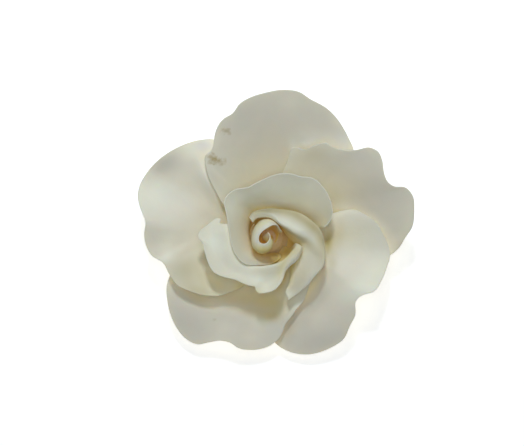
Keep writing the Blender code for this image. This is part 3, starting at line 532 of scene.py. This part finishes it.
def bud_net(shares, rows):
    """The furled strip's points, from a spiral foot on the cone's top."""
    first_bearing, last_bearing, first_radius, last_radius = BUD_FOOT
    bearing = np.radians(first_bearing + (last_bearing - first_bearing) * shares)
    radius = first_radius + (last_radius - first_radius) * shares
    foot = np.column_stack([radius * np.cos(bearing), radius * np.sin(bearing),
                            np.full(len(shares), CORE_HEIGHT + BUD_SEAT)])
    drawn = [smooth_curve(ring, shares, by_station=True) for ring in BUD_RINGS.values()]
    return threaded_net([foot, *drawn], rows)


def patches(place, marks, amounts):
    """Add up soft oval patches at each point: how far they push or shade it."""
    total = np.zeros((len(place), amounts))
    for x, y, width, length, bearing, *amount in marks:
        turn = math.radians(bearing)
        dx, dy = place[:, 0] - x, place[:, 1] - y
        along = dx * math.cos(turn) + dy * math.sin(turn)
        aside = dy * math.cos(turn) - dx * math.sin(turn)
        total += np.outer(np.exp(-(aside / width)**2 - (along / length)**2), amount)
    return total


def shelter(net, tree):
    """Share of the open air above each point that the flower hides, on a coarser grid."""
    rows, columns = net.shape[:2]
    picked_rows = np.unique([*range(0, rows, STRIDE), rows - 1])
    picked_columns = np.unique([*range(0, columns, STRIDE), columns - 1])
    front = np.cross(np.gradient(net, axis=1), np.gradient(net, axis=0))
    front /= np.linalg.norm(front, axis=2, keepdims=True) + 1e-9
    hidden = np.zeros((len(picked_rows), len(picked_columns)))
    for i, row in enumerate(picked_rows):
        for j, column in enumerate(picked_columns):
            start = Vector(net[row, column] + LIFT * front[row, column])
            hidden[i, j] = sum(tree.ray_cast(start, Vector(way), REACH)[0] is not None
                               for way in OPEN_AIR) / len(OPEN_AIR)
    full = np.array([np.interp(range(columns), picked_columns, line) for line in hidden])
    return np.array([np.interp(range(rows), picked_rows, line) for line in full.T]).T


def sheet_net(name, net_of, grid, seed):
    """A petal's points, touched up and slightly uneven, and how far out each row lies."""
    outwards = 1 - (1 - np.linspace(0.0, 1.0, grid[1] + 1))**ROW_CROWDING
    net = net_of(np.linspace(0.0, 1.0, grid[0] + 1), outwards)
    place = net.reshape(-1, 3)
    free = np.clip(np.repeat(outwards, grid[0] + 1) / HELD_SHARE, 0, 1)
    place += patches(place, TOUCHES.get(name, ()), 3) * free[:, None]
    place[:, 2] += unevenness(place, seed)
    return place.reshape(net.shape), outwards


def shade_tree(nets):
    """All the petals as one coarse surface that hides the open air."""
    corners, faces = [], []
    for net in nets:
        rows, columns = net.shape[:2]
        first = len(corners)
        corners += [Vector(point) for point in net.reshape(-1, 3)]
        faces += [(first + r * columns + c, first + r * columns + c + 1,
                   first + (r + 1) * columns + c + 1, first + (r + 1) * columns + c)
                  for r in range(rows - 1) for c in range(columns - 1)]
    return BVHTree.FromPolygons(corners, faces)


def unevenness(place, seed):
    """Slight waves that fingers and a ball tool leave in rolled paste."""
    shift = Vector((*(seed * step for step in WAVE_SHIFT), 0.0))
    return np.array([sum(height * noise.noise(Vector(point) / width + shift)
                         for height, width in WAVES) for point in place])


def from_free_edge(place, rows, columns):
    """Distance of every point from the nearest free edge, along the sheet."""
    net = place.reshape(rows, columns, 3)
    out = np.linalg.norm(np.diff(net, axis=0), axis=2)
    to_edge = np.vstack([np.cumsum(out[::-1], axis=0)[::-1], np.zeros(columns)])
    side = np.linalg.norm(np.diff(net, axis=1), axis=2)
    run = np.hstack([np.zeros((rows, 1)), np.cumsum(side, axis=1)])
    to_side = np.minimum(run, run[:, -1:] - run)
    return np.minimum(to_edge, to_side).ravel()


def sheet(name, net, outwards, thickness, hidden):
    """A petal: a grid laid on its net of points, thickened and rounded."""
    rows, columns = net.shape[:2]
    shape = bmesh.new()
    bmesh.ops.create_grid(shape, x_segments=columns - 1, y_segments=rows - 1, size=1.0)
    shape.verts.sort(key=lambda vertex: 100 * vertex.co.y + vertex.co.x)    # row by row
    place = net.reshape(-1, 3)
    inside = from_free_edge(place, rows, columns)
    # the listed ovals of painted highlight and painted shade
    shades = patches(place, PAINTED_LIGHT_AND_SHADE.get(name, ()), 2)
    looks = {"outward": np.repeat(outwards, columns),
             "across": np.tile(np.linspace(0.0, 1.0, columns), rows),
             "margin": inside, "shelter": hidden.ravel(),
             "pale": shades[:, 0], "painted_warm_shade": shades[:, 1]}
    body = shape.verts.layers.deform.verify()
    layers = {look: shape.verts.layers.float.new(look) for look in looks}
    for index, vertex in enumerate(shape.verts):
        vertex.co = place[index] * MM
        vertex[body][0] = min(1.0, inside[index] / RIM_WIDTH)
        for look, layer in layers.items():
            vertex[layer] = looks[look][index]
    mesh = bpy.data.meshes.new(name + "_sheet")
    shape.to_mesh(mesh)
    shape.free()
    mesh.shade_smooth()
    petal = bpy.data.objects.new(name + "_sheet", mesh)
    bpy.context.scene.collection.objects.link(petal)
    petal.vertex_groups.new(name="body")
    solid = petal.modifiers.new("thickness", "SOLIDIFY")
    solid.thickness = thickness * MM
    solid.offset = -1.0
    solid.vertex_group = "body"
    solid.thickness_vertex_group = RIM_SHARE
    rounded = petal.modifiers.new("rounded", "SUBSURF")
    rounded.levels = rounded.render_levels = 1
    return petal


class Wires:
    """Short ways to place the nodes of one material or node group and to link them."""

    def __init__(self, tree):
        self.nodes, self.link = tree.nodes, tree.links.new

    def feed(self, socket, value):
        """Link what another node puts out to a socket, or set a plain value on it."""
        if isinstance(value, bpy.types.NodeSocket):
            self.link(value, socket)
        else:
            socket.default_value = value

    def place(self):
        """The place on the piece."""
        return self.nodes.new("ShaderNodeTexCoord").outputs["Object"]

    def attribute(self, name):
        """One of the values that a sheet's points carry."""
        node = self.nodes.new("ShaderNodeAttribute")
        node.attribute_name = name
        return node.outputs["Fac"]

    def texture(self, scale, detail, place=None):
        """Noise of the given scale."""
        node = self.nodes.new("ShaderNodeTexNoise")
        self.feed(node.inputs["Scale"], scale)
        self.feed(node.inputs["Detail"], detail)
        if place is not None:
            self.feed(node.inputs["Vector"], place)
        return node.outputs["Fac"]

    def spread(self, value, low, high, to_low, to_high):
        """Stretch the range from low to high over another one, and stop at its ends."""
        node = self.nodes.new("ShaderNodeMapRange")
        for socket, number in zip(("Value", "From Min", "From Max", "To Min", "To Max"),
                                  (value, low, high, to_low, to_high)):
            self.feed(node.inputs[socket], number)
        return node.outputs["Result"]

    def maths(self, operation, *values):
        """Add, multiply or compare values."""
        node = self.nodes.new("ShaderNodeMath")
        node.operation = operation
        for socket, value in zip(node.inputs, values):
            self.feed(socket, value)
        return node.outputs["Value"]

    def vectors(self, operation, first, second=None, result="Vector"):
        """Work on places or colours. To scale them, the second is a single value."""
        node = self.nodes.new("ShaderNodeVectorMath")
        node.operation = operation
        self.feed(node.inputs[0], first)
        if second is not None:
            self.feed(node.inputs["Scale" if operation == "SCALE" else 1], second)
        return node.outputs[result]

    def mix(self, factor, first, second, blend="MIX"):
        """Mix two colours. A factor below 0 or above 1 carries on past them."""
        node = self.nodes.new("ShaderNodeMix")
        node.data_type, node.blend_type = "RGBA", blend
        node.clamp_factor = False
        sockets = {socket.identifier: socket for socket in node.inputs}
        self.feed(sockets["Factor_Float"], factor)
        self.feed(sockets["A_Color"], first)
        self.feed(sockets["B_Color"], second)
        return next(s for s in node.outputs if s.identifier == "Result_Color")


def node_group(name, inputs, outputs):
    """An empty group with named sockets, and its wires, inputs and result."""
    group = bpy.data.node_groups.new(name, "ShaderNodeTree")
    for way, sockets in (("INPUT", inputs), ("OUTPUT", outputs)):
        for socket, kind in sockets.items():
            group.interface.new_socket(socket, in_out=way, socket_type="NodeSocket" + kind)
    given = group.nodes.new("NodeGroupInput").outputs
    result = group.nodes.new("NodeGroupOutput").inputs
    return group, Wires(group), given, result


def paste_colour(wires, petal, heart, mottle):
    """Warm heart, painted shade on rims and hollows, faint blotches, listed painted light and
    shade.
    """
    reach = wires.maths("ADD", wires.attribute("outward"),
                        wires.spread(mottle, *MOTTLE_RANGE, -HEART_RAGGED, HEART_RAGGED))
    colour = wires.mix(wires.spread(reach, *HEART_FADE, 0.0, 1.0), heart, petal)
    # painted shade: the free edges are darkened towards the rim's shade colour
    rim_width, rim_strength = RIM_SHADE
    rim_shade = wires.spread(wires.attribute("margin"), 0.0, rim_width, rim_strength, 0.0)
    colour = wires.mix(rim_shade, colour, RIM_SHADE_COLOUR)
    # painted shade: darker and browner where the flower hides the open air and where the listed
    # ovals add it
    painted_shade = wires.maths("ADD", wires.spread(wires.attribute("shelter"), *PAINTED_SHADE_SHELTER,
                                           0.0, PAINTED_SHADE_STRENGTH), wires.attribute("painted_warm_shade"))
    colour = wires.mix(wires.maths("MINIMUM", painted_shade, MOST_PAINTED_SHADE), colour, PAINTED_SHADE_COLOUR, "MULTIPLY")
    blotch = wires.spread(wires.texture(BLOTCH_SCALE, 4.0, wires.place()), *BLOTCH_RANGE,
                          0.0, BLOTCH_STRENGTH)
    colour = wires.mix(blotch, colour, BLOTCH_COLOUR)
    # painted highlight and painted shade: the listed ovals make the colour lighter or darker
    return wires.vectors("SCALE", colour, wires.maths("ADD", wires.attribute("pale"), 1.0))


def paste_relief(wires, mottle):
    """Faint veins, finger marks and grain."""
    strands = wires.nodes.new("ShaderNodeCombineXYZ")
    for socket, way, number in zip(("X", "Y"), ("across", "outward"), VEINS):
        wires.link(wires.maths("MULTIPLY", wires.attribute(way), number),
                   strands.inputs[socket])
    patterns = {"vein": wires.texture(1.0, 2.0, strands.outputs["Vector"]),
                "mottle": mottle,
                "grain": wires.texture(GRAIN_SCALE, 3.0, wires.place())}
    height = 0.0
    for name, depth in RELIEF.items():
        height = wires.maths("MULTIPLY_ADD", patterns[name], depth, height)
    bump = wires.nodes.new("ShaderNodeBump")
    bump.inputs["Distance"].default_value = MM
    bump.inputs["Strength"].default_value = RELIEF_STRENGTH
    wires.link(height, bump.inputs["Height"])
    return bump.outputs["Normal"]


def paste_group():
    """Shared look of the paste."""
    group, wires, given, result = node_group(
        "Sugar Paste", {"Petal": "Color", "Heart": "Color"},
        {"Color": "Color", "Roughness": "Float", "Normal": "Vector"})
    mottle = wires.texture(MOTTLE_SCALE, 3.0, wires.place())
    wires.link(paste_colour(wires, given["Petal"], given["Heart"], mottle), result["Color"])
    wires.link(wires.spread(mottle, *MOTTLE_RANGE, *ROUGHNESS), result["Roughness"])
    wires.link(paste_relief(wires, mottle), result["Normal"])
    return group


def speck_group():
    """Where a browned speck lies: 1 at its middle, 0 outside it, with a ragged border."""
    group, wires, given, result = node_group(
        "Speck", {"Centre": "Vector", "Size": "Vector"}, {"Factor": "Float"})
    place = wires.place()
    away = wires.vectors("DIVIDE", wires.vectors("SUBTRACT", place, given["Centre"]),
                         given["Size"])
    away = wires.vectors("LENGTH", away, result="Value")
    away = wires.maths("MULTIPLY_ADD", wires.texture(SPECK_SCALE, 2.0, place),
                       SPECK_RAGGED, away)
    wires.link(wires.spread(away, *SPECK_FADE, 1.0, 0.0), result["Factor"])
    return group


def paste_material(name, look, groups, specks=()):
    """Sugar paste in one petal colour, with its browned specks."""
    material = bpy.data.materials.new(name)
    material.use_nodes = True
    wires = Wires(material.node_tree)
    shader = wires.nodes["Principled BSDF"]
    paste = wires.nodes.new("ShaderNodeGroup")
    paste.node_tree = groups["paste"]
    for socket, colour in zip(("Petal", "Heart"), look):
        paste.inputs[socket].default_value = (*colour, 1.0)
    colour = paste.outputs["Color"]
    for centre, size, strength in specks:
        speck = wires.nodes.new("ShaderNodeGroup")
        speck.node_tree = groups["speck"]
        speck.inputs["Centre"].default_value = [value * MM for value in centre]
        speck.inputs["Size"].default_value = [value * MM for value in size]
        stain = wires.maths("MULTIPLY", speck.outputs["Factor"], strength)
        colour = wires.mix(stain, colour, SPECK_COLOUR)
    wires.link(colour, shader.inputs["Base Color"])
    wires.link(paste.outputs["Roughness"], shader.inputs["Roughness"])
    wires.link(paste.outputs["Normal"], shader.inputs["Normal"])
    shader.inputs["Specular IOR Level"].default_value = 0.3
    shader.inputs["Subsurface Weight"].default_value = 0.4
    shader.inputs["Subsurface Radius"].default_value = (1.0, 0.8, 0.5)
    shader.inputs["Subsurface Scale"].default_value = MM
    return material


def floor_material():
    """Plain, nearly white board that glows a little, with hardly visible clouds."""
    material = bpy.data.materials.new("floor")
    material.use_nodes = True
    wires = Wires(material.node_tree)
    shader = wires.nodes["Principled BSDF"]
    clouds = wires.spread(wires.texture(FLOOR_CLOUDS, 2.0), 0.0, 1.0, *FLOOR_TONES)
    wires.link(clouds, shader.inputs["Base Color"])
    shader.inputs["Roughness"].default_value = 0.9
    shader.inputs["Emission Color"].default_value = (1.0, 1.0, 1.0, 1.0)
    shader.inputs["Emission Strength"].default_value = FLOOR_GLOW
    return material


def floor():
    """A plain pale table top."""
    shape = bmesh.new()
    bmesh.ops.create_grid(shape, x_segments=1, y_segments=1, size=FLOOR_SIDE / 2)
    mesh = bpy.data.meshes.new("floor")
    shape.to_mesh(mesh)
    shape.free()
    mesh.materials.append(floor_material())
    top = bpy.data.objects.new("floor", mesh)
    top.location.z = -FLOOR_DROP
    bpy.context.scene.collection.objects.link(top)


def area_light(name, place, size, power):
    """A square soft light that faces the flower."""
    data = bpy.data.lights.new(name, "AREA")
    data.size, data.energy, data.color = size, power, LIGHT_COLOUR
    light = bpy.data.objects.new(name, data)
    light.location = place
    light.rotation_euler = (-Vector(place)).to_track_quat("-Z", "Y").to_euler()
    bpy.context.scene.collection.objects.link(light)


def camera():
    """A long lens straight above the flower."""
    data = bpy.data.cameras.new("camera")
    data.lens = data.sensor_width * (CAMERA_HEIGHT - FOCUS_HEIGHT) / FRAME_WIDTH
    data.clip_end = 10.0
    above = bpy.data.objects.new("camera", data)
    above.location = (*FRAME_CENTRE, CAMERA_HEIGHT)
    bpy.context.scene.collection.objects.link(above)
    bpy.context.scene.camera = above


def studio():
    """Camera, floor, lights and a dim sky."""
    camera()
    floor()
    for light in LIGHTS:
        area_light(*light)
    world = bpy.data.worlds.new("studio")
    world.use_nodes = True
    sky = world.node_tree.nodes["Background"]
    sky.inputs["Color"].default_value = (*LIGHT_COLOUR, 1.0)
    sky.inputs["Strength"].default_value = SKY
    scene = bpy.context.scene
    scene.world = world
    scene.view_settings.view_transform = "Standard"
    scene.cycles.max_bounces = scene.cycles.diffuse_bounces = BOUNCES


def petal_plan():
    """Every sheet's name, the function that lays its net, grid, thickness and slot."""
    plan = [("bud", bud_net, INNER_GRID, INNER_THICKNESS, "bud_paste")]
    for name, petal in INNER_PETALS.items():
        plan.append((name, partial(inner_net, petal), INNER_GRID, INNER_THICKNESS,
                     "inner_petal_paste"))
    for name, petal in OUTER_PETALS.items():
        plan.append((name, partial(outer_net, petal), OUTER_GRID, OUTER_THICKNESS,
                     "outer_petal_paste"))
    return plan


def main():
    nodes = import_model()["nodes"]
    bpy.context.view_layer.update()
    studio()

    groups = {"paste": paste_group(), "speck": speck_group()}
    looks = {slot: paste_material(slot, look, groups) for slot, look in LOOKS.items()}
    core = nodes["core"]
    for slot in core.material_slots:
        slot.material = looks["core_paste"]

    plan = petal_plan()
    nets = [sheet_net(name, net_of, grid, seed)
            for seed, (name, net_of, grid, _, _) in enumerate(plan)]
    tree = shade_tree([net for net, _ in nets])
    for (name, _, _, thickness, slot), (net, outwards) in zip(plan, nets):
        petal = sheet(name, net, outwards, thickness, shelter(net, tree))
        look = looks[slot]
        if name in SPECKS:
            look = paste_material(name + "_paste", LOOKS[slot], groups, SPECKS[name])
        petal.data.materials.append(look)
        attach(petal, "root")
        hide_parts(name)


main()
